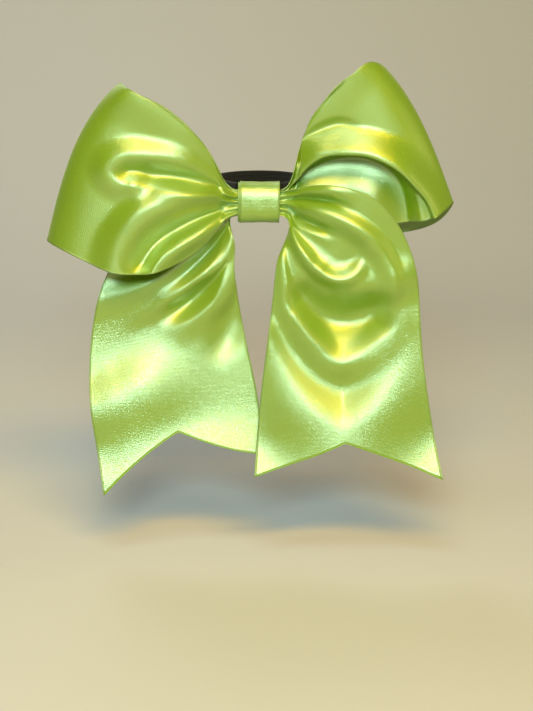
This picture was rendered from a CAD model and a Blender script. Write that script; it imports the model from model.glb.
"""A cheer hair bow of wide lime satin on an elastic hair band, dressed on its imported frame."""

import logging
import math
from dataclasses import dataclass, field
from enum import Enum

import bpy
import numpy as np
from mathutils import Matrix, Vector


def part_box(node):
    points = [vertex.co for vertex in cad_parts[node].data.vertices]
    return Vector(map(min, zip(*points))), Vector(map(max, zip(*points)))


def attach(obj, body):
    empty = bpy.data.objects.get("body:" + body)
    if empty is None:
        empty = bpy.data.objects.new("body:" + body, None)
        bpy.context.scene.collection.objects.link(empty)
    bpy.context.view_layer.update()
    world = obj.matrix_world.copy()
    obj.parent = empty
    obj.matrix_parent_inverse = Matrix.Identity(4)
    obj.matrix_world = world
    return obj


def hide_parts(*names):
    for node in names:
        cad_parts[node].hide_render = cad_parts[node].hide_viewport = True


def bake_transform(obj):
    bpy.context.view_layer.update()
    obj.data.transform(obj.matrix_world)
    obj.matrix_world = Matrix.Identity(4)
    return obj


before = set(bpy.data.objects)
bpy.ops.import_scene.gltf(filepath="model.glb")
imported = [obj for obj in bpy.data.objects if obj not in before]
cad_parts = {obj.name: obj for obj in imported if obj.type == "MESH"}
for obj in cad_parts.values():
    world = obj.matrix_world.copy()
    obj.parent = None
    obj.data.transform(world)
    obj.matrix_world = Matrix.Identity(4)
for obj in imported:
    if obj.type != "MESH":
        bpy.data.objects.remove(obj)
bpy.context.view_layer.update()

LOG = logging.getLogger("cheer_bow")
MM = 0.001
RIBBON_WIDE = 76.2  # mm, 3 inch satin
WRAP_RIBBON_WIDE = 15.9  # mm, 5/8 inch satin
UV_PER_MM = 0.1  # the ribbons' UV map counts centimetres of cloth
SEALED_BEAD = 0.24  # mm, radius of the melted bead along a fork's cut
GLUE_BEAD = 0.22  # mm, radius of the glue squeezed out at the wrap's end
WRAP_FRONT = 6.0  # mm, from the waist's middle to the wrap's front


def waist_middle() -> np.ndarray:
    """The middle of the gathered waist, in metres, read from the wrap's place in the frame."""
    low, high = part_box("centre_wrap")
    return np.array([0.0, low[1] + WRAP_FRONT * MM, (low[2] + high[2]) / 2])


WAIST = waist_middle()


# ------------------------------------------------------------------ small maths
def ease(x: np.ndarray) -> np.ndarray:
    """Goes smoothly from 0, at 0 and under, to 1, at 1 and over.

    Args:
        x: Any numbers.

    Returns:
        The eased numbers.
    """
    x = np.clip(x, 0.0, 1.0)
    return x * x * (3 - 2 * x)


class SmoothPath:
    """A natural cubic spline through points, by the distance along their chords."""

    def __init__(self, points: np.ndarray, marks: np.ndarray | None = None) -> None:
        """Fits the spline.

        Args:
            points: Points to pass through, one a row.
            marks: The parameter at each point. Left out, it is the chord length.
        """
        self.points = np.asarray(points, float)
        if marks is None:
            steps = np.linalg.norm(np.diff(self.points, axis=0), axis=1)
            marks = np.concatenate([[0.0], np.cumsum(steps)])
        self.marks = np.asarray(marks, float)
        count, gaps = len(self.marks), np.diff(self.marks)
        matrix, right = np.eye(count), np.zeros_like(self.points)
        for i in range(1, count - 1):
            matrix[i, i - 1 : i + 2] = gaps[i - 1], 2 * (gaps[i - 1] + gaps[i]), gaps[i]
            rises = np.diff(self.points[i - 1 : i + 2], axis=0) / gaps[i - 1 : i + 1, None]
            right[i] = 6 * (rises[1] - rises[0])
        self.bends = np.linalg.solve(matrix, right)

    def at(self, marks: np.ndarray) -> np.ndarray:
        """Points at some parameters.

        Args:
            marks: Parameters, clamped to the spline's own range.

        Returns:
            One point for each parameter.
        """
        t = np.clip(marks, self.marks[0], self.marks[-1])
        i = np.clip(np.searchsorted(self.marks, t, side="right") - 1, 0, len(self.marks) - 2)
        gap = (self.marks[i + 1] - self.marks[i])[..., None]
        b = (t - self.marks[i])[..., None] / gap
        a = 1 - b
        curve = (a**3 - a) * self.bends[i] + (b**3 - b) * self.bends[i + 1]
        return a * self.points[i] + b * self.points[i + 1] + curve * gap**2 / 6


# ------------------------------------------------------------------ meshes
def mesh_piece(
    name: str, points: np.ndarray, faces: list, uvs: np.ndarray | None = None
) -> bpy.types.Object:
    """Makes a smooth-shaded mesh object.

    Args:
        name: The piece's name.
        points: Its points, in metres.
        faces: Its faces, as tuples of point numbers.
        uvs: One UV for each point.

    Returns:
        The new object, linked to the scene.
    """
    mesh = bpy.data.meshes.new(name)
    mesh.from_pydata(points.tolist(), [], faces)
    if uvs is not None:
        layer = mesh.uv_layers.new(name="cloth")
        corners = np.empty(len(mesh.loops), np.int32)
        mesh.loops.foreach_get("vertex_index", corners)
        layer.data.foreach_set("uv", uvs[corners].astype(np.float32).ravel())
    mesh.polygons.foreach_set("use_smooth", [True] * len(mesh.polygons))
    mesh.update()
    piece = bpy.data.objects.new(name, mesh)
    bpy.context.scene.collection.objects.link(piece)
    return piece


def grid_normals(grid: np.ndarray) -> np.ndarray:
    """Unit normals of a grid of points.

    Args:
        grid: Points in rows and columns.

    Returns:
        A normal for each point.
    """
    normal = np.cross(np.gradient(grid, axis=0), np.gradient(grid, axis=1))
    return normal / np.maximum(np.linalg.norm(normal, axis=2, keepdims=True), 1e-12)


def cloth_piece(name: str, grid: np.ndarray, thick: np.ndarray, uvs: np.ndarray) -> bpy.types.Object:
    """Makes a closed sheet of cloth with a front, a back and rims from a grid.

    Args:
        name: The piece's name.
        grid: The sheet's middle surface, in metres, as rows and columns.
        thick: The cloth's thickness at each point, in metres.
        uvs: The UV of each point.

    Returns:
        The new object.
    """
    rows, columns = grid.shape[:2]
    half = grid_normals(grid) * (thick / 2)[..., None]
    number = np.arange(rows * columns).reshape(rows, columns)
    under = number + rows * columns
    a, b, c, d = number[:-1, :-1], number[1:, :-1], number[1:, 1:], number[:-1, 1:]
    faces = np.stack([a, b, c, d], -1).reshape(-1, 4).tolist()
    a, b, c, d = under[:-1, :-1], under[:-1, 1:], under[1:, 1:], under[1:, :-1]
    faces += np.stack([a, b, c, d], -1).reshape(-1, 4).tolist()
    rim = [*number[0, :], *number[1:, -1], *number[-1, -2::-1], *number[-2:0:-1, 0]]
    for one, two in zip(rim, rim[1:] + rim[:1]):
        faces.append((int(one), int(two), int(two) + rows * columns, int(one) + rows * columns))
    points = np.concatenate([(grid + half).reshape(-1, 3), (grid - half).reshape(-1, 3)])
    return mesh_piece(name, points, faces, np.concatenate([uvs.reshape(-1, 2)] * 2))


def tube_piece(name: str, path: np.ndarray, radius: float, sides: int = 8) -> bpy.types.Object:
    """Makes a thin closed tube along a path, with rounded-off ends.

    Args:
        name: The piece's name.
        path: Points along it, in metres.
        radius: Its radius, in metres.
        sides: How many sides its section has.

    Returns:
        The new object.
    """
    ahead = np.gradient(path, axis=0)
    ahead /= np.maximum(np.linalg.norm(ahead, axis=1, keepdims=True), 1e-12)
    side = np.cross(ahead, np.array([0.13, 0.97, 0.21]))
    side /= np.maximum(np.linalg.norm(side, axis=1, keepdims=True), 1e-12)
    up = np.cross(side, ahead)
    swell = np.ones(len(path))
    swell[0] = swell[-1] = 0.5
    turns = np.linspace(0, 2 * math.pi, sides, endpoint=False)
    ring = np.cos(turns)[None, :, None] * side[:, None] + np.sin(turns)[None, :, None] * up[:, None]
    points = path[:, None] + ring * (radius * swell)[:, None, None]
    faces = []
    for i in range(len(path) - 1):
        for j in range(sides):
            k = (j + 1) % sides
            faces.append((i * sides + j, i * sides + k, (i + 1) * sides + k, (i + 1) * sides + j))
    last = (len(path) - 1) * sides
    faces.append(tuple(range(sides))[::-1])
    faces.append(tuple(last + j for j in range(sides)))
    return mesh_piece(name, points.reshape(-1, 3), faces)


# ------------------------------------------------------------------ finishes
class NodeTree:
    """A short way to add and join a material's nodes."""

    def __init__(self, name: str) -> None:
        """Starts a material that has a Principled shader.

        Args:
            name: The material's name.
        """
        self.material = bpy.data.materials.new(name)
        self.material.use_nodes = True
        self.nodes = self.material.node_tree.nodes
        self.links = self.material.node_tree.links
        self.shader = self.nodes["Principled BSDF"]

    def add(self, kind: str, settings: dict | None = None, **inputs: object) -> bpy.types.Node:
        """Adds a node.

        Args:
            kind: The node's type, without its ShaderNode prefix.
            settings: Properties of the node.
            inputs: Its inputs by name, with _ for a space: a socket to join or a value to set.

        Returns:
            The new node.
        """
        node = self.nodes.new("ShaderNode" + kind)
        for key, value in (settings or {}).items():
            setattr(node, key, value)
        for key, value in inputs.items():
            self.put(node.inputs[int(key[1:]) if key[1:].isdigit() else key.replace("_", " ")], value)
        return node

    def put(self, socket: bpy.types.NodeSocket, value: object) -> None:
        """Joins a socket to another one, or sets its value."""
        if isinstance(value, bpy.types.NodeSocket):
            self.links.new(value, socket)
        else:
            socket.default_value = value

    def maths(self, operation: str, one: object, two: object = 0.0) -> bpy.types.NodeSocket:
        """Adds a Math node and gives its output."""
        return self.add("Math", {"operation": operation}, i0=one, i1=two).outputs[0]

    def mix(self, share: object, one: object, two: object) -> bpy.types.NodeSocket:
        """Mixes two colours and gives the result."""
        node = self.add("Mix", {"data_type": "RGBA"})
        for index, value in ((0, share), (6, one), (7, two)):
            self.put(node.inputs[index], value)
        return node.outputs[2]

    def bump(self, height: object, strength: float, distance: float, under: object = None) -> object:
        """Adds a Bump node on top of another normal and gives its output."""
        node = self.add("Bump", None, Height=height, Strength=strength, Distance=distance)
        if under is not None:
            self.put(node.inputs["Normal"], under)
        return node.outputs["Normal"]


@dataclass(frozen=True)
class SatinFinish:
    """Glossy satin ribbon: long floats along its length, fine ribs across and a firm selvedge."""

    name: str
    lime: tuple = (0.195, 0.325, 0.001, 1)
    deep: tuple = (0.15, 0.26, 0.001, 1)
    pale: tuple = (0.29, 0.45, 0.006, 1)
    wide: float = RIBBON_WIDE
    selvedge: float = 0.9
    rib_pitch: float = 0.55
    float_pitch: float = 0.35

    def material(self) -> bpy.types.Material:
        """Builds the finish.

        Returns:
            The material.
        """
        tree = NodeTree(self.name)
        cloth = tree.add("UVMap", {"uv_map": "cloth"}).outputs["UV"]
        split = tree.add("SeparateXYZ", None, Vector=cloth)
        across, along = split.outputs[0], split.outputs[1]
        # long slow changes of shade, and a speckle of single threads
        drift = tree.add("TexNoise", None, Vector=cloth, Scale=0.45, Detail=3.0).outputs["Fac"]
        stretch = tree.add("Mapping", None, Vector=cloth, Scale=(14.0, 46.0, 1.0)).outputs[0]
        threads = tree.add("TexNoise", None, Vector=stretch, Scale=1.0, Detail=2.0).outputs["Fac"]
        shade = tree.mix(drift, self.deep, self.lime)
        sparkle = tree.maths("SUBTRACT", threads, 0.52)
        shade = tree.mix(tree.maths("MULTIPLY", sparkle, 2.6), shade, self.pale)
        # the selvedge is woven tighter, so it is a little darker
        from_edge = tree.maths("SUBTRACT", self.wide / 2 * UV_PER_MM, tree.maths("ABSOLUTE", across))
        firm = tree.maths("LESS_THAN", from_edge, self.selvedge * UV_PER_MM)
        shade = tree.mix(tree.maths("MULTIPLY", firm, 0.45), shade, self.deep)
        tree.put(tree.shader.inputs["Base Color"], shade)
        rough = tree.maths("ADD", tree.maths("MULTIPLY", threads, 0.2), 0.22)
        tree.put(tree.shader.inputs["Roughness"], tree.maths("ADD", rough, tree.maths("MULTIPLY", firm, 0.1)))
        turn = 2 * math.pi / UV_PER_MM
        ribs = tree.maths("SINE", tree.maths("MULTIPLY", along, turn / self.rib_pitch))
        floats = tree.maths("SINE", tree.maths("MULTIPLY", across, turn / self.float_pitch))
        relief = tree.bump(threads, 0.27, 0.0004)
        relief = tree.bump(ribs, 0.10, 0.0001, relief)
        relief = tree.bump(tree.maths("MULTIPLY", floats, firm), 0.4, 0.0002, relief)
        tree.put(tree.shader.inputs["Normal"], relief)
        tangent = tree.add("Tangent", {"direction_type": "UV_MAP", "uv_map": "cloth"}).outputs[0]
        tree.put(tree.shader.inputs["Tangent"], tangent)
        for socket, value in (
            ("Metallic", 0.0),
            ("IOR", 2.05),
            ("Anisotropic", 0.6),
            ("Specular IOR Level", 1.0),
            ("Specular Tint", (0.88, 1.0, 0.68, 1)),
            ("Sheen Weight", 0.12),
            ("Sheen Roughness", 0.4),
            ("Sheen Tint", (0.8, 1.0, 0.45, 1)),
        ):
            tree.shader.inputs[socket].default_value = value
        return tree.material


@dataclass(frozen=True)
class ElasticFinish:
    """Black braided elastic: fine slanting stitches of matte yarn over round cords."""

    name: str = "black braided elastic"

    def material(self) -> bpy.types.Material:
        """Builds the finish.

        Returns:
            The material.
        """
        tree = NodeTree(self.name)
        cloth = tree.add("UVMap", {"uv_map": "cloth"}).outputs["UV"]
        split = tree.add("SeparateXYZ", None, Vector=cloth)
        cords = tree.maths("PINGPONG", split.outputs[0], 0.09)
        slant = tree.maths("ADD", split.outputs[1], tree.maths("MULTIPLY", cords, 0.9))
        braid = tree.maths("SINE", tree.maths("MULTIPLY", slant, 2 * math.pi / 0.09))
        fuzz = tree.add("TexNoise", None, Vector=cloth, Scale=30.0, Detail=3.0).outputs["Fac"]
        tone = tree.maths("ADD", tree.maths("MULTIPLY", braid, 0.3), fuzz)
        shade = tree.mix(tone, (0.0015, 0.0015, 0.0018, 1), (0.008, 0.008, 0.009, 1))
        tree.put(tree.shader.inputs["Base Color"], shade)
        relief = tree.bump(braid, 0.5, 0.0002, tree.bump(fuzz, 0.3, 0.0002))
        tree.put(tree.shader.inputs["Normal"], relief)
        tree.put(tree.shader.inputs["Roughness"], tree.maths("ADD", tree.maths("MULTIPLY", fuzz, 0.2), 0.55))
        tree.shader.inputs["Sheen Weight"].default_value = 0.08
        tree.shader.inputs["Specular IOR Level"].default_value = 0.2
        tree.shader.inputs["Sheen Roughness"].default_value = 0.5
        return tree.material


@dataclass(frozen=True)
class SmallFinish:
    """A plain substance of one of the small hidden pieces, with its mottling and grain."""

    name: str
    dark: tuple
    light: tuple
    rough: float
    grain: float = 900.0
    clear: float = 0.0

    def material(self) -> bpy.types.Material:
        """Builds the finish.

        Returns:
            The material.
        """
        tree = NodeTree(self.name)
        place = tree.add("TexCoord").outputs["Object"]
        mottle = tree.add("TexNoise", None, Vector=place, Scale=self.grain, Detail=4.0).outputs["Fac"]
        tree.put(tree.shader.inputs["Base Color"], tree.mix(mottle, self.dark, self.light))
        rough = tree.maths("ADD", tree.maths("MULTIPLY", mottle, 0.15), self.rough)
        tree.put(tree.shader.inputs["Roughness"], rough)
        tree.put(tree.shader.inputs["Normal"], tree.bump(mottle, 0.25, 0.0001))
        tree.shader.inputs["Subsurface Weight"].default_value = self.clear
        return tree.material


RIBBON_SATIN = SatinFinish("lime satin").material()
WRAP_SATIN = SatinFinish("lime wrap satin", wide=WRAP_RIBBON_WIDE, selvedge=0.7).material()
ELASTIC = ElasticFinish().material()
NYLON = SmallFinish("natural nylon", (0.55, 0.55, 0.5, 1), (0.72, 0.72, 0.68, 1), 0.35, 400, 0.2).material()
GLUE = SmallFinish("hot glue", (0.6, 0.56, 0.42, 1), (0.75, 0.72, 0.6, 1), 0.12, 500, 0.4).material()
THREAD = SmallFinish("black thread", (0.006, 0.006, 0.007, 1), (0.03, 0.03, 0.03, 1), 0.6, 3000).material()
SEALED = SmallFinish("sealed edge", (0.16, 0.33, 0.015, 1), (0.26, 0.45, 0.04, 1), 0.3, 1500).material()


def dress(piece: bpy.types.Object, material: bpy.types.Material) -> None:
    """Gives a piece one material in place of what it has."""
    piece.data.materials.clear()
    piece.data.materials.append(material)


# ------------------------------------------------------------------ ribbon limbs
class Face(Enum):
    """Which layer of a loop a fold is in. A tail has only its front."""

    FRONT = -1
    BACK = 1


CREASE_MARKS = 100  # how finely a crease's track is walked
CREASE_SKIRT = 1.25  # a crease's soft skirt reaches this many times its spread
CREASE_GROWTH = 0.45  # the share of its track over which it grows, and over which it fades at its tip
CREASE_NARROWEST = 0.12  # the least share of its full spread


@dataclass(frozen=True)
class Crease:
    """A ridge, or a valley where its rise is negative, that runs out from the waist.

    Attributes:
        track: Points (x, z) of its crest from the waist outwards, in mm from the waist's middle.
        rise: How far it stands out, in mm.
        left: How far it spreads on the left of its track, walking outwards, in mm.
        right: The same on the right.
        root: The share of its rise and spread at the waist.
        tip: The share of its rise at its far end.
        face: The layer that it is in.
        widen: How many times as wide as at its start it is at its far end.
        lean: How far its crest hangs over to the right of its track, in mm.
    """

    track: tuple
    rise: float
    left: float
    right: float
    root: float = 0.3
    tip: float = 0.0
    face: Face = Face.FRONT
    widen: float = 1.0
    lean: float = 0.0

    def relief(self, x: np.ndarray, z: np.ndarray) -> np.ndarray:
        """How far it moves each point of a layer.

        Args:
            x: The points' places to the right, in mm.
            z: The points' heights, in mm.

        Returns:
            The move (x, out, z) of each point, in mm.
        """
        path = SmoothPath(np.array(self.track))
        marks, step = np.linspace(path.marks[0], path.marks[-1], CREASE_MARKS, retstep=True)
        line = path.at(marks)
        way = np.gradient(line, axis=0)
        way /= np.linalg.norm(way, axis=1, keepdims=True)
        gap = np.stack([x, z], -1)[..., None, :] - line
        nearest = np.argmin((gap**2).sum(-1), axis=-1)
        off = np.take_along_axis(gap, nearest[..., None, None], -2)[..., 0, :]
        ahead = way[nearest]
        past = np.clip((off * ahead).sum(-1), -step / 2, step / 2)
        off = off - past[..., None] * ahead
        side = ahead[..., 0] * off[..., 1] - ahead[..., 1] * off[..., 0]
        far = np.hypot(off[..., 0], off[..., 1])
        share = np.clip((nearest * step + past) / marks[-1], 0, 1)
        grown = self.root + (1 - self.root) * ease(share / CREASE_GROWTH)
        leftward = 0.5 + 0.5 * side / np.maximum(far, 1e-9)
        reach = CREASE_SKIRT * (self.right + (self.left - self.right) * leftward)
        reach = reach * np.maximum(grown, CREASE_NARROWEST) * (1 + (self.widen - 1) * share)
        fading = ease((share - (1 - CREASE_GROWTH)) / CREASE_GROWTH)
        taper = grown * (1 - (1 - self.tip) * fading)
        swell = taper * (1 - np.clip(far / reach, 0, 1) ** 2) ** 3
        return swell[..., None] * np.stack(
            [self.lean * ahead[..., 1], np.full(x.shape, self.rise), -self.lean * ahead[..., 0]], -1
        )


ROOT_FLAT, ROOT_FREE = 7.0, 16.0  # mm from the waist's middle, where the creases start and are whole
LOOP_BEND, TAIL_BEND = (7.0, 13.0), (8.0, 18.0)  # mm, where a limb starts and ends to bend at the waist
BOW_SIDE, BOW_UP = 0.88, 0.47  # the way that a fold's middle bows out
BOW_PEAK, BOW_LONG = 0.76, 22.0  # skews the bow across the ribbon, and its length along it in mm
BACK_PLEATS = 2  # how many times as deep the pleats are at a loop's back


@dataclass
class Limb:
    """A stretch of the wide ribbon, from the waist out: a whole loop or a tail.

    Attributes:
        name: The piece's name.
        body: The body that it moves with.
        replaces: The CAD nodes that it stands for.
        stations: The ribbon's two selvedges along its run, in mm from the waist's middle.
        creases: Its ridges and valleys.
        turn: The marks, counted in stations, where a loop's front ends and its back begins.
        fork: How deep the end's fork is, as a share of the limb's length.
        pleats: How many small pleats leave the waist.
        pleat_rise: How far they stand out, in mm.
        pleat_reach: How far they run out before they die away, in mm.
        bow: How far the middle of a loop's fold bows outwards, in mm.
        seed: Sets its pleats apart from the other limbs'.
        rows: Points along the ribbon.
        columns: Points across it.
        thick: The cloth's thickness, in mm.
        edge_thick: Its thickness at the selvedges, in mm.
        length: The length of its smooth surface, in mm.
        cloth_long: The mean length of its lengthwise lines, creases included, in mm.
        marks: The distance along it of each station, in mm.
    """

    name: str
    body: str
    replaces: tuple
    stations: list
    creases: list
    turn: tuple | None = None
    fork: float = 0.0
    pleats: int = 4
    pleat_rise: float = 0.9
    pleat_reach: float = 8.0
    bow: float = 0.0
    seed: float = 0.0
    rows: int = 150
    columns: int = 96
    thick: float = 0.25
    edge_thick: float = 0.34
    length: float = field(init=False, default=0.0)
    cloth_long: float = field(init=False, default=0.0)
    marks: np.ndarray | None = field(init=False, default=None)

    def base(self) -> tuple[np.ndarray, np.ndarray, np.ndarray]:
        """Lays the limb's smooth surface, before its creases.

        Returns:
            The grid of points in mm, the mark along the run of each, and the share across of each.
        """
        pairs = np.array(self.stations, float)
        steps = np.linalg.norm(np.diff(pairs, axis=0), axis=2).mean(axis=1)
        marks = np.concatenate([[0.0], np.cumsum(steps)])
        self.length = float(marks[-1])
        one, two = SmoothPath(pairs[:, 0], marks), SmoothPath(pairs[:, 1], marks)
        across = np.linspace(0, 1, self.columns)
        end = 1 - self.fork * (1 - np.abs(2 * across - 1))
        u = np.linspace(0, 1, self.rows)[:, None] * end[None, :] * self.length
        v = np.broadcast_to(across, u.shape)
        grid = one.at(u) * (1 - v)[..., None] + two.at(u) * v[..., None]
        self.marks = marks
        return grid, u, v

    def surface(self) -> tuple[np.ndarray, np.ndarray]:
        """Adds the limb's crown, pleats and creases to its smooth surface.

        Returns:
            The grid of points in metres in the row frame, and the cloth's UV at each.
        """
        grid, u, v = self.base()
        front = np.ones_like(u)
        back = np.zeros_like(u)
        if self.turn:
            start, end = (self.marks[i] for i in self.turn)
            middle, spare = (start + end) / 2, (end - start) * 0.75
            front = 1 - ease((u - middle + spare) / spare)
            back = ease((u - middle) / spare)
            swell = self.bow * np.sin(math.pi * v**BOW_PEAK) * np.exp(-(((u - middle) / BOW_LONG) ** 2))
            way = np.array([math.copysign(BOW_SIDE, self.stations[0][0][0]), 0, BOW_UP])
            grid += swell[..., None] * way
        x, z = grid[..., 0], grid[..., 2]
        moves = np.zeros_like(grid)
        for crease in self.creases:
            mask = front if crease.face is Face.FRONT else back
            moves += crease.relief(x, z) * mask[..., None] * [1, crease.face.value, 1]
        # the wrap holds the root flat
        moves *= ease((np.hypot(x, z) - ROOT_FLAT) / (ROOT_FREE - ROOT_FLAT))[..., None]
        moves[..., 1] += self.pleating(u, v) * (front - BACK_PLEATS * back)
        grid += moves
        self.cloth_long = float(np.linalg.norm(np.diff(grid, axis=0), axis=2).sum(axis=0).mean())
        uvs = np.stack([(v - 0.5) * RIBBON_WIDE, u], -1) * UV_PER_MM
        return WAIST + grid * MM, uvs

    def pleating(self, u: np.ndarray, v: np.ndarray) -> np.ndarray:
        """The small pleats that leave the waist and die out.

        Args:
            u: The distance along the run, in mm.
            v: The share across.

        Returns:
            The pleats' lift, in mm.
        """
        from_root = np.minimum(u, (self.length - u)) if self.turn else u
        warped = v + 0.035 * np.sin(2 * math.pi * (v * 1.7 + self.seed)) + 0.02 * np.sin(9 * v + self.seed)
        wave = np.sin(2 * math.pi * self.pleats * warped + self.seed)
        wave = np.sign(wave) * np.abs(wave) ** 0.8
        swell = 0.55 + 0.45 * ease(from_root / 12)
        fade = 1 - ease((from_root - 9) / (self.pleat_reach * (0.75 + 0.35 * np.sin(5 * v + self.seed))))
        return self.pleat_rise * wave * swell * fade

    def build(self) -> bpy.types.Object:
        """Makes the limb's mesh, dresses it and ties it to its bodies.

        Returns:
            The limb's piece.
        """
        grid, uvs = self.surface()
        from_edge = RIBBON_WIDE / 2 - np.abs(uvs[..., 0]) / UV_PER_MM
        thick = self.thick + (self.edge_thick - self.thick) * (1 - ease(from_edge / 1.2))
        piece = cloth_piece(self.name, grid, thick * MM, uvs)
        dress(piece, RIBBON_SATIN)
        self.tie(piece)
        if self.fork:
            self.seal(grid)
        return piece

    def tie(self, piece: bpy.types.Object) -> None:
        """Args:
            piece: The limb's piece.
        """
        way = np.array([math.copysign(1, self.stations[0][0][0]), 0, 0])
        near, far = LOOP_BEND
        if not self.turn:
            way, (near, far) = (way - [0, 0, 1]) / math.sqrt(2), TAIL_BEND
        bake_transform(piece)
        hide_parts(*self.replaces)

    def seal(self, grid: np.ndarray) -> None:
        """Adds the melted bead along the fork's cut.

        Args:
            grid: The limb's points.
        """
        bead = tube_piece(self.name + "_sealed_end", grid[-1, ::2], SEALED_BEAD * MM)
        dress(bead, SEALED)
        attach(bead, self.body)


def root(side: int, y: float) -> list:
    """A limb's first stations: under the wrap, and where it leaves the waist.

    Args:
        side: -1 on the left and 1 on the right.
        y: The layer's place from front to back, in mm.

    Returns:
        Two stations.
    """
    return [((side * 5.5, y, 4.6), (side * 5.5, y, -4.6)), ((side * 10.3, y, 5.2), (side * 10.3, y, -5.2))]


FRONT_Y, MIDDLE_Y, BACK_Y = -3.2, -0.2, 3.0

LEFT_LOOP = Limb(
    name="left_loop",
    body="left_loop",
    replaces=("left_loop_front", "left_loop_fold", "left_loop_back"),
    turn=(5, 7),
    seed=0.4,
    bow=6.0,
    rows=240,
    columns=110,
    stations=[
        *root(-1, FRONT_Y),
        ((-18, -7, 18), (-19, -7, -13)),
        ((-30, -11, 33.5), (-38, -12, -25)),
        ((-44, -12, 43), (-62, -13, -24.5)),
        ((-52, -8, 47), (-80, -9, -17)),
        ((-54.1, 0, 47.4), (-85.7, 0, -15)),
        ((-51.5, 8, 44), (-81, 9, -15)),
        ((-40, 12, 38), (-62, 13, -19)),
        ((-26, 10, 26.5), (-36, 11, -18)),
        ((-17, 6, 14), (-18, 6.5, -10)),
        *root(-1, BACK_Y)[::-1],
    ],
    creases=[
        Crease(((-12, 12), (-30, 32), (-44, 42), (-60, 48)), 3.0, 13, 8, tip=0.8),
        Crease(((-9, 5.6), (-13, 7), (-20, 11), (-28, 16), (-36, 19.2), (-47, 20.4), (-55, 18.8),
                (-59, 15), (-57, 11), (-50, 9.4)), 3.6, 8, 8, tip=0.7),
        Crease(((-10, 4.8), (-22, 8.6), (-36, 12), (-50, 13.6)), -3.2, 5, 7, tip=0.6),
        Crease(((-9, 4), (-14, 4.6), (-25, 7.2), (-38, 8.6), (-48, 9.2)), 2.6, 6, 4.6, tip=0.3),
        Crease(((-9, 2.6), (-18, 4), (-27, 3.6), (-37, 1.8), (-46, -2.4), (-51.6, -8.4), (-55, -15),
                (-57, -24)), 5.4, 11, 6, root=0.4, tip=0.8, widen=1.9),
        Crease(((-11, -1), (-25, -5.8), (-34.5, -10.4), (-42, -15.6), (-46, -22)), -4.6, 5, 9, tip=0.8),
        Crease(((-9, -3.4), (-12, -5.4), (-22, -10.4), (-33, -17), (-39, -22.4), (-43, -28)),
               4.4, 6, 6.5, root=0.4, tip=0.7),
        Crease(((-9, 4), (-22, 14), (-36, 26), (-48, 38)), 4.2, 8, 9, tip=0.4, face=Face.BACK),
        Crease(((-9, 2), (-24, 8), (-44, 14), (-60, 20)), -6.2, 7, 7, root=0.05, tip=0.2, face=Face.BACK),
        Crease(((-9, 0), (-26, 0), (-48, 0), (-70, 0)), 6.4, 8, 7, tip=0.5, face=Face.BACK),
        Crease(((-9, -2), (-26, -7), (-46, -10), (-66, -12)), -6.0, 6, 5, root=0.05, tip=0.6, face=Face.BACK),
    ],
)

RIGHT_LOOP = Limb(
    name="right_loop",
    body="right_loop",
    replaces=("right_loop_front", "right_loop_fold", "right_loop_back"),
    turn=(5, 7),
    seed=1.9,
    bow=3.5,
    rows=240,
    columns=110,
    stations=[
        *root(1, MIDDLE_Y),
        ((18, -4, 27), (20, -2, -6)),
        ((27, -8, 42), (38, -4, -8)),
        ((38, -10, 53), (58, -8, -7.7)),
        ((44, -7, 56), (72, -7, -4)),
        ((49, 1, 54), (78.5, 0, 0)),
        ((46, 9, 53), (75, 8, -7.8)),
        ((36, 12, 49), (58, 12, -14.5)),
        ((24, 10, 36), (35, 10, -15)),
        ((16, 6, 18), (18, 6, -9)),
        *root(1, BACK_Y)[::-1],
    ],
    creases=[
        Crease(((9, 5), (14, 18), (21, 32), (29, 42), (36, 52)), 1.8, 4, 10, tip=0.6),
        Crease(((14, 24), (24, 30), (33, 32.5), (42, 29)), -1.6, 3, 3),
        Crease(((9, 4), (14, 10.7), (19, 18), (26, 22.8), (34, 24.2), (43, 23.8), (51, 21), (58, 16.7),
                (64, 10.7), (70, 3), (73, -4)), 6.6, 7, 4, root=0.4, tip=1.0, lean=3.2),
        Crease(((9, 2.4), (19, 12), (31, 17.4), (45, 17), (55, 10), (60, -6)), -5.4, 4.5, 13, tip=1.0),
        Crease(((9, 4), (18, 18), (30, 34), (44, 46)), 7.4, 8, 8, tip=0.4, face=Face.BACK),
        Crease(((9, 2), (22, 10), (40, 22), (58, 30)), -8.0, 7, 7, tip=0.3, face=Face.BACK),
        Crease(((9, 0), (26, 4), (46, 8), (66, 12)), 7.6, 7, 8, tip=0.6, face=Face.BACK),
        Crease(((9, -2), (24, -5), (42, -6), (66, -2)), -7.0, 6, 6, tip=0.6, face=Face.BACK),
    ],
)

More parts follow.
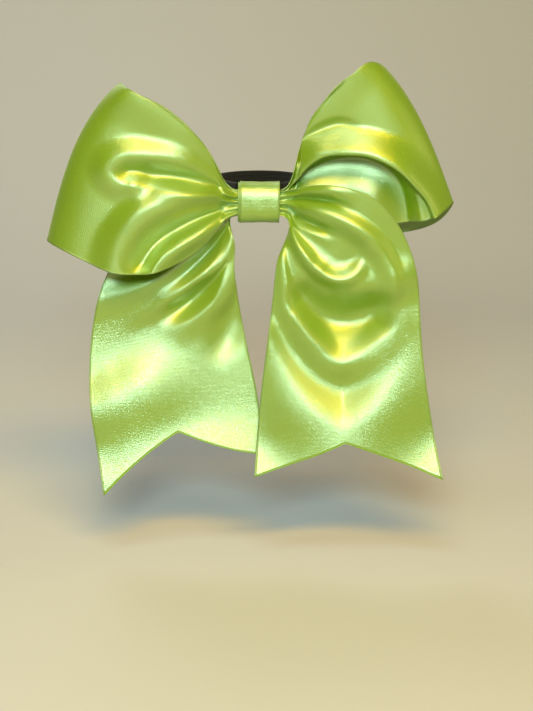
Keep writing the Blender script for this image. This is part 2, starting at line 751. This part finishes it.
LEFT_TAIL = Limb(
    name="left_tail_ribbon",
    body="left_tail",
    replaces=("left_tail",),
    fork=0.13,
    seed=2.7,
    stations=[
        *root(-1, MIDDLE_Y),
        ((-24, -1, 0), (-10.2, -0.5, -14)),
        ((-42, -2, -8), (-9.8, -1, -24)),
        ((-56, -3, -20), (-8.8, -2, -36)),
        ((-64.5, -3, -36), (-7, -2, -48)),
        ((-68.4, -4, -54), (-4.5, -3, -60)),
        ((-69.2, -9, -76), (-0.5, -6, -79)),
        ((-63.3, -17, -117.2), (1.5, -10, -102)),
    ],
    creases=[
        Crease(((-9, -1), (-30, -13), (-46, -24), (-64, -30)), -4.4, 8, 8, root=0.05, tip=0.3),
        Crease(((-9, -2), (-22.5, -16), (-36, -27), (-50, -35), (-66, -41)), 2.8, 7.5, 6, tip=0.3),
        Crease(((-10, -6), (-20, -19), (-29, -28), (-42, -37)), -3.4, 4.2, 5, root=0.1),
        Crease(((-9, -3), (-14, -20), (-29, -32.8), (-42, -42), (-58, -50)), 3.4, 6, 6.5),
        Crease(((-13, -24), (-22, -36), (-32, -44), (-42, -49)), -4.4, 5, 6, root=0.2),
        Crease(((-9, -4), (-10.6, -24), (-17, -38), (-28, -48), (-42, -56)), 2.6, 8, 7),
        Crease(((-8, -34), (-12, -52), (-22, -68)), -2.4, 9, 9, root=0.3),
        Crease(((-82, -84), (-60, -82), (-44, -72), (-30, -58)), 3.8, 17, 24, root=0.6, tip=0.3),
        Crease(((-76, -122), (-34, -116), (6, -112)), 5.6, 28, 10, root=0.8, tip=0.8),
    ],
)

RIGHT_TAIL = Limb(
    name="right_tail_ribbon",
    body="right_tail",
    replaces=("right_tail",),
    fork=0.11,
    seed=5.1,
    stations=[
        *root(1, FRONT_Y),
        ((27, -13, 9), (10, -8, -16)),
        ((43.3, -17, 5), (7.5, -11, -22)),
        ((56.3, -16, -8.4), (6, -12, -34)),
        ((62.5, -14, -24), (4.7, -12, -45)),
        ((65.1, -12, -47.4), (2.8, -12, -60)),
        ((68, -15, -73.4), (0.5, -15, -80)),
        ((74.5, -21, -108.7), (-1.8, -20, -108.5)),
    ],
    creases=[
        Crease(((9, 3.6), (20, 6.6), (31, 7), (41, 3)), 2.6, 4, 4),
        Crease(((9, 2), (20, 2.6), (30, 2), (39, -2)), -3.2, 3, 3),
        Crease(((9, 1), (22, -1), (36, -6), (48, -16), (53.5, -30), (52, -42)), 3.6, 5, 7, tip=0.3),
        Crease(((9, -0.6), (16, -5), (24, -8), (32, -12)), -4.2, 3, 3.4),
        Crease(((9, -1.4), (16, -9), (24, -15), (32, -19)), -1.6, 5, 5, root=0.2),
        Crease(((9, -2.4), (14, -12), (20, -21), (29, -28), (38, -26), (43, -18)), 3.6, 4, 4.5, tip=0.2),
        Crease(((26, -24), (38, -31), (56, -29)), 3.2, 13, 10, root=0.4, tip=0.7),
        Crease(((18, -38), (32, -47), (46, -44)), -6.0, 13, 9, root=0.8, tip=0.8),
        Crease(((9, -14), (12, -35), (20, -51), (32, -62.5), (45, -57.5), (54, -43), (57, -29)),
               3.8, 7, 11, tip=0.3),
        Crease(((2, -52), (13, -72), (25, -86), (34, -90), (43, -86), (54, -73), (66, -50)),
               5.8, 16, 26, root=0.5, tip=0.5),
        Crease(((-2, -116), (36, -118), (76, -116)), 6.2, 27, 10, root=0.8, tip=1.0),
    ],
)


# ------------------------------------------------------------------ the waist and its wrap
@dataclass
class GatheredWaist:
    """The three pleated layers under the wrap."""

    half_long: float = 8.2
    half_high: float = 5.3
    pleats: int = 5
    rise: float = 1.9
    thick: float = 0.25

    def layer(self, name: str, y: float, seed: float) -> bpy.types.Object:
        """Makes one pleated layer.

        Args:
            name: The CAD node that it stands for.
            y: Its place from front to back, in mm.
            seed: Sets its pleats apart from the other layers'.

        Returns:
            The layer's piece.
        """
        x = np.linspace(-self.half_long, self.half_long, 24)[:, None] * np.ones(160)
        v = np.linspace(0, 1, 160)[None, :] * np.ones((24, 1))
        wave = np.sin(2 * math.pi * self.pleats * v + 0.15 * np.sin(x * 0.5 + seed))
        z = self.half_high * (1 - 2 * v)
        grid = WAIST + np.stack([x, y + self.rise * wave, z], -1) * MM
        uvs = np.stack([(v - 0.5) * RIBBON_WIDE, x], -1) * UV_PER_MM
        piece = cloth_piece(name + "_pleats", grid, np.full(x.shape, self.thick * MM), uvs)
        dress(piece, RIBBON_SATIN)
        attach(piece, "knot")
        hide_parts(name)
        return piece

    def build(self) -> None:
        """Makes the three layers."""
        for seed, (name, y) in enumerate((("front", -1.75), ("middle", -0.1), ("back", 1.55))):
            self.layer(f"waist_{name}_layer", y, seed)


@dataclass
class CentreWrap:
    """The narrow ribbon wound twice round the waist, its end lapped at the back."""

    front: float = 5.95
    back: float = 8.55
    high: float = 8.05
    squareness: float = 2.9
    turns: float = 2.12
    start_deg: float = 252.0
    thick: float = 0.24
    flare: float = 0.28
    rows: int = 560
    columns: int = 44
    under: float = 0.42  # how far the first turn lies under the second
    lap: float = 0.34  # how far the lapped end stands out
    slack: float = 0.12  # how far inside the outermost size the second turn lies
    pull: float = 0.10  # the depth of its pulled wrinkles
    inner_shift: float = -0.35  # how far aside the first turn lies
    outer_shift: float = 0.75  # how much further aside the second one does
    wander: float = 0.21  # how far it strays to each side on its way round

    def section(self, angle: np.ndarray, inset: np.ndarray) -> tuple[np.ndarray, np.ndarray]:
        """A point of the wrap's rounded section.

        Args:
            angle: The angle round X, from the front over the top, in radians.
            inset: How far inside the outermost turn, in mm.

        Returns:
            The point's y and z, in mm from the waist's middle.
        """
        middle = (self.back - self.front) / 2
        deep = (self.back + self.front) / 2 - inset
        high = self.high - inset
        power = 2 / self.squareness
        y = -np.sign(np.cos(angle)) * np.abs(np.cos(angle)) ** power * deep + middle
        z = np.sign(np.sin(angle)) * np.abs(np.sin(angle)) ** power * high
        return y, z

    def build(self) -> bpy.types.Object:
        """Makes the wound ribbon and the glue at its end.

        Returns:
            The wrap's piece.
        """
        turned = np.linspace(0, self.turns, self.rows)
        angle = math.radians(self.start_deg) - 2 * math.pi * (self.turns - turned)
        across = np.linspace(-0.5, 0.5, self.columns)
        outer = ease((turned - 0.9) / 0.25)
        lap = ease((turned - 1.98) / 0.06)
        inset = (1 - outer) * self.under - lap * self.lap + self.slack
        sway = self.inner_shift + self.outer_shift * outer + self.wander * np.sin(angle + 0.7)
        x = across[None, :] * WRAP_RIBBON_WIDE + sway[:, None]
        edge = np.abs(2 * across)[None, :] ** 5
        pulled = self.pull * np.sin(3.1 * angle[:, None] + 5 * across) * np.cos(7.3 * across + angle[:, None])
        inset = inset[:, None] - self.flare * edge + pulled
        y, z = self.section(np.broadcast_to(angle[:, None], x.shape), inset)
        grid = WAIST + np.stack([x, y, z], -1) * MM
        run = np.concatenate([[0], np.cumsum(np.linalg.norm(np.diff(grid[:, 20], axis=0), axis=1))]) / MM
        uvs = np.stack(np.broadcast_arrays(across[None, :] * WRAP_RIBBON_WIDE, run[:, None]), -1) * UV_PER_MM
        thick = np.full(x.shape, self.thick * MM)
        piece = cloth_piece("centre_wrap_turns", grid, thick, uvs)
        dress(piece, WRAP_SATIN)
        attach(piece, "knot")
        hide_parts("centre_wrap")
        self.squeeze(grid[-1])
        return piece

    def squeeze(self, end: np.ndarray) -> None:
        """Adds the line of glue that has squeezed out along the ribbon's cut end.

        Args:
            end: The points of the cut end.
        """
        line = end[3:-3].copy()
        line[:, 2] -= 0.12 * MM * (1 + np.sin(np.arange(len(line)) * 1.3))
        bead = tube_piece("wrap_glue_bead", line, GLUE_BEAD * MM)
        dress(bead, GLUE)
        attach(bead, "knot")


# ------------------------------------------------------------------ the elastic hair band
@dataclass
class HairBand:
    """The flat braided elastic, in a front that twists and a back that stretches away."""

    inner: float = 18.0
    thick: float = 1.4
    wide: float = 9.0
    run_half: float = 8.6
    cords: int = 8
    cord_rise: float = 0.13
    stitch_swing: float = 0.75
    stitch_lift: float = 0.12
    stitch_sink: float = 0.1
    stitches: int = 5
    thread: float = 0.16

    def __post_init__(self) -> None:
        """Works out the band's route from the frame."""
        low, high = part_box("hair_band_front")
        self.run_y = low[1] / MM + self.thick / 2
        self.part_y = high[1] / MM
        self.radius = self.inner + self.thick / 2
        away = math.hypot(self.run_half, self.run_y)
        self.touch = math.atan2(self.run_y, self.run_half) + math.acos(self.radius / away)

    def tangent_point(self) -> np.ndarray:
        """Where the right side meets the round back, in mm."""
        return self.radius * np.array([math.cos(self.touch), math.sin(self.touch)])

    def front_route(self) -> np.ndarray:
        """The route of the front part, from its left end to its right, in mm.

        Returns:
            Points (x, y).
        """
        corner, touch = np.array([self.run_half, self.run_y]), self.tangent_point()
        share = (self.part_y - self.run_y) / (touch[1] - self.run_y)
        end = corner + (touch - corner) * share
        side = [corner + (end - corner) * s for s in np.linspace(0.12, 1, 14)]
        soft = [(self.run_half - 1.1, self.run_y), (self.run_half - 0.3, self.run_y + 0.1),
                (self.run_half + 0.35, self.run_y + 0.62)]
        right = [np.array([x, self.run_y]) for x in np.linspace(0, self.run_half - 2, 12)]
        right += [np.array(p) for p in soft] + side
        left = [np.array([-p[0], p[1]]) for p in right[:0:-1]]
        return np.array(left + right)

    def back_route(self) -> np.ndarray:
        """The route of the back part, from its left end round to its right, in mm.

        Returns:
            Points (x, y).
        """
        touch = self.tangent_point()
        end = self.front_route()[-1]
        side = [end + (touch - end) * s for s in np.linspace(0, 1, 9)[:-1]]
        arc = np.linspace(self.touch, math.pi - self.touch, 120)
        round_back = self.radius * np.stack([np.cos(arc), np.sin(arc)], -1)
        left = [np.array([-p[0], p[1]]) for p in side[::-1]]
        return np.array([*side, *round_back, *left])[::-1]

    def profile(self) -> np.ndarray:
        """The braid's section: two faces of round cords with rounded edges, in mm.

        Returns:
            Points (out, up) round the section.
        """
        up = np.linspace(-1, 1, self.cords * 8 + 1)
        body = np.abs(np.sin(math.pi * self.cords * (up + 1) / 2)) ** 0.7
        half = (self.thick / 2 - self.cord_rise + self.cord_rise * body) * (1 - 0.75 * np.abs(up) ** 14)
        face = np.stack([half, up * self.wide / 2], -1)
        return np.concatenate([face, face[::-1] * [-1, 1]])

    def strip(self, name: str, route: np.ndarray) -> bpy.types.Object:
        """Sweeps the braid's section along a route.

        Args:
            name: The piece's name.
            route: Points (x, y), in mm.

        Returns:
            The new piece.
        """
        ahead = np.gradient(route, axis=0)
        ahead /= np.linalg.norm(ahead, axis=1, keepdims=True)
        out = np.stack([ahead[:, 1], -ahead[:, 0]], -1)
        section = self.profile()
        flat = route[:, None, :] + out[:, None, :] * section[None, :, :1]
        up = np.broadcast_to(section[None, :, 1:], (*flat.shape[:2], 1))
        points = np.concatenate([flat, up], -1) * MM
        rows, around = points.shape[:2]
        run = np.concatenate([[0], np.cumsum(np.linalg.norm(np.diff(route, axis=0), axis=1))])
        uvs = np.stack(np.broadcast_arrays(section[None, :, 1], run[:, None]), -1) * UV_PER_MM
        faces = []
        for i in range(rows - 1):
            for j in range(around):
                k = (j + 1) % around
                faces.append((i * around + j, i * around + k, (i + 1) * around + k, (i + 1) * around + j))
        faces.append(tuple(range(around))[::-1])
        faces.append(tuple((rows - 1) * around + j for j in range(around)))
        piece = mesh_piece(name, points.reshape(-1, 3), faces, uvs.reshape(-1, 2))
        dress(piece, ELASTIC)
        return piece

    def build(self) -> None:
        """Makes both parts of the band and the stitches that join its ends."""
        front = self.strip("hair_band_front_braid", self.front_route())
        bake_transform(front)
        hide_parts("hair_band_front")
        back = self.strip("hair_band_back_braid", self.back_route())
        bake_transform(back)
        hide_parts("hair_band_side_left", "hair_band_side_right", "hair_band_back")
        for row in (1, 2, 3):
            self.stitch_row(f"band_stitch_{row}")

    def stitch_row(self, node: str) -> None:
        """Makes one row of hand stitches where the elastic's ends overlap.

        Args:
            node: The CAD node that the row stands for.
        """
        low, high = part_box(node)
        middle = (np.array(low) + np.array(high)) / 2
        out = np.array([middle[0], middle[1], 0]) / math.hypot(middle[0], middle[1])
        aside = np.array([-out[1], out[0], 0])
        line = []
        for step in np.linspace(0, 1, 61):
            wave = self.stitch_swing * math.sin(step * math.pi * 2 * self.stitches)
            lift = self.stitch_lift * math.cos(step * math.pi * 4 * self.stitches)
            height = low[2] + (high[2] - low[2]) * step
            foot = middle + aside * wave * MM + out * (lift - self.stitch_sink) * MM
            line.append([foot[0], foot[1], height])
        piece = tube_piece(node + "_thread", np.array(line), self.thread * MM)
        dress(piece, THREAD)
        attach(piece, "band_back")
        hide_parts(node)


# ------------------------------------------------------------------ studio
@dataclass
class Studio:
    """A pale sweep, soft warm and cool lights, and the camera in front of the bow."""

    distance: float = 0.6
    rise_deg: float = 8.5
    pitch_deg: float = 14.4
    lens: float = 75.0
    aside: float = 0.0032
    floor_drop: float = 0.143

    def floor(self) -> None:
        """Makes the sweep: a floor that curves up into a wall."""
        low, back, radius = WAIST[2] - self.floor_drop, 0.75, 0.35
        bend = [(back - radius + radius * math.sin(a), low + radius * (1 - math.cos(a)))
                for a in np.linspace(0, math.pi / 2, 24)]
        profile = [(-1.6, low), *bend, (back, low + 2.2)]
        points = np.array([[x, y, z] for y, z in profile for x in (-2.6, 2.6)])
        faces = [(2 * i, 2 * i + 1, 2 * i + 3, 2 * i + 2) for i in range(len(profile) - 1)]
        sweep = mesh_piece("studio_sweep", points, faces)
        finish = SmallFinish("pale paper", (0.47, 0.46, 0.45, 1), (0.52, 0.51, 0.50, 1), 0.7, 3.0)
        dress(sweep, finish.material())

    def lamp(self, name: str, place: tuple, size: tuple, power: float, colour: tuple) -> None:
        """Adds an oval area light aimed at the bow.

        Args:
            name: The light's name.
            place: Where it stands from the waist's middle, in metres.
            size: Its width and height, in metres.
            power: Its power, in watts.
            colour: Its colour.
        """
        data = bpy.data.lights.new(name, "AREA")
        data.shape, data.energy, data.color = "ELLIPSE", power, colour
        data.size, data.size_y = size
        light = bpy.data.objects.new(name, data)
        light.location = Vector(WAIST) + Vector(place)
        light.rotation_mode = "QUATERNION"
        light.rotation_quaternion = (-Vector(place)).to_track_quat("-Z", "Y")
        bpy.context.scene.collection.objects.link(light)

    def lights(self) -> None:
        """Sets the lights and the room's own soft light."""
        self.lamp("cool_front", (-0.04, -0.90, 0.38), (0.34, 0.20), 7.2, (0.70, 1.0, 0.98))
        self.lamp("warm_front", (0.10, -0.62, 0.68), (0.70, 0.20), 8.4, (1.0, 0.58, 0.01))
        self.lamp("cool_above", (-0.10, -0.30, 0.85), (0.5, 0.30), 2.1, (0.76, 1.0, 1.0))
        self.lamp("warm_side", (0.85, -0.25, 0.10), (0.25, 0.25), 0.6, (1.0, 0.80, 0.45))
        self.lamp("cool_back", (-0.3, 0.6, 0.6), (0.5, 0.5), 2.4, (0.9, 0.96, 1.0))
        world = bpy.data.worlds.new("room")
        world.use_nodes = True
        world.node_tree.nodes["Background"].inputs[0].default_value = (0.94, 0.88, 0.68, 1)
        world.node_tree.nodes["Background"].inputs[1].default_value = 0.12
        bpy.context.scene.world = world

    def camera(self) -> None:
        """Stands the camera a little above the waist, pitched down."""
        data = bpy.data.cameras.new("camera")
        data.lens = self.lens
        camera = bpy.data.objects.new("camera", data)
        rise = math.radians(self.rise_deg)
        away = Vector((self.aside, -self.distance * math.cos(rise), self.distance * math.sin(rise)))
        camera.location = Vector(WAIST) + away
        camera.rotation_euler = (math.radians(90 - self.pitch_deg), 0, 0)
        bpy.context.scene.collection.objects.link(camera)
        bpy.context.scene.camera = camera

    def build(self) -> None:
        """Sets up the whole studio."""
        self.floor()
        self.lights()
        self.camera()
        bpy.context.scene.view_settings.view_transform = "Standard"


def dress_nodes() -> None:
    """Gives the CAD nodes that stay their finishes."""
    dress(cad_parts["cable_tie"], NYLON)
    for side in ("left", "right"):
        dress(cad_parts[f"wrap_glue_{side}"], GLUE)


def main() -> None:
    """Builds the bow from the waist out, then the studio."""
    logging.basicConfig(level=logging.INFO, format="%(message)s")
    Studio().build()
    dress_nodes()
    GatheredWaist().build()
    wrap = CentreWrap().build()
    LOG.info("%s: %d faces", wrap.name, len(wrap.data.polygons))
    for limb in (LEFT_LOOP, RIGHT_LOOP, LEFT_TAIL, RIGHT_TAIL):
        piece = limb.build()
        LOG.info("%s: %d faces, %.0f mm of ribbon", piece.name, len(piece.data.polygons), limb.cloth_long)
    HairBand().build()


if __name__ == "__main__":
    main()
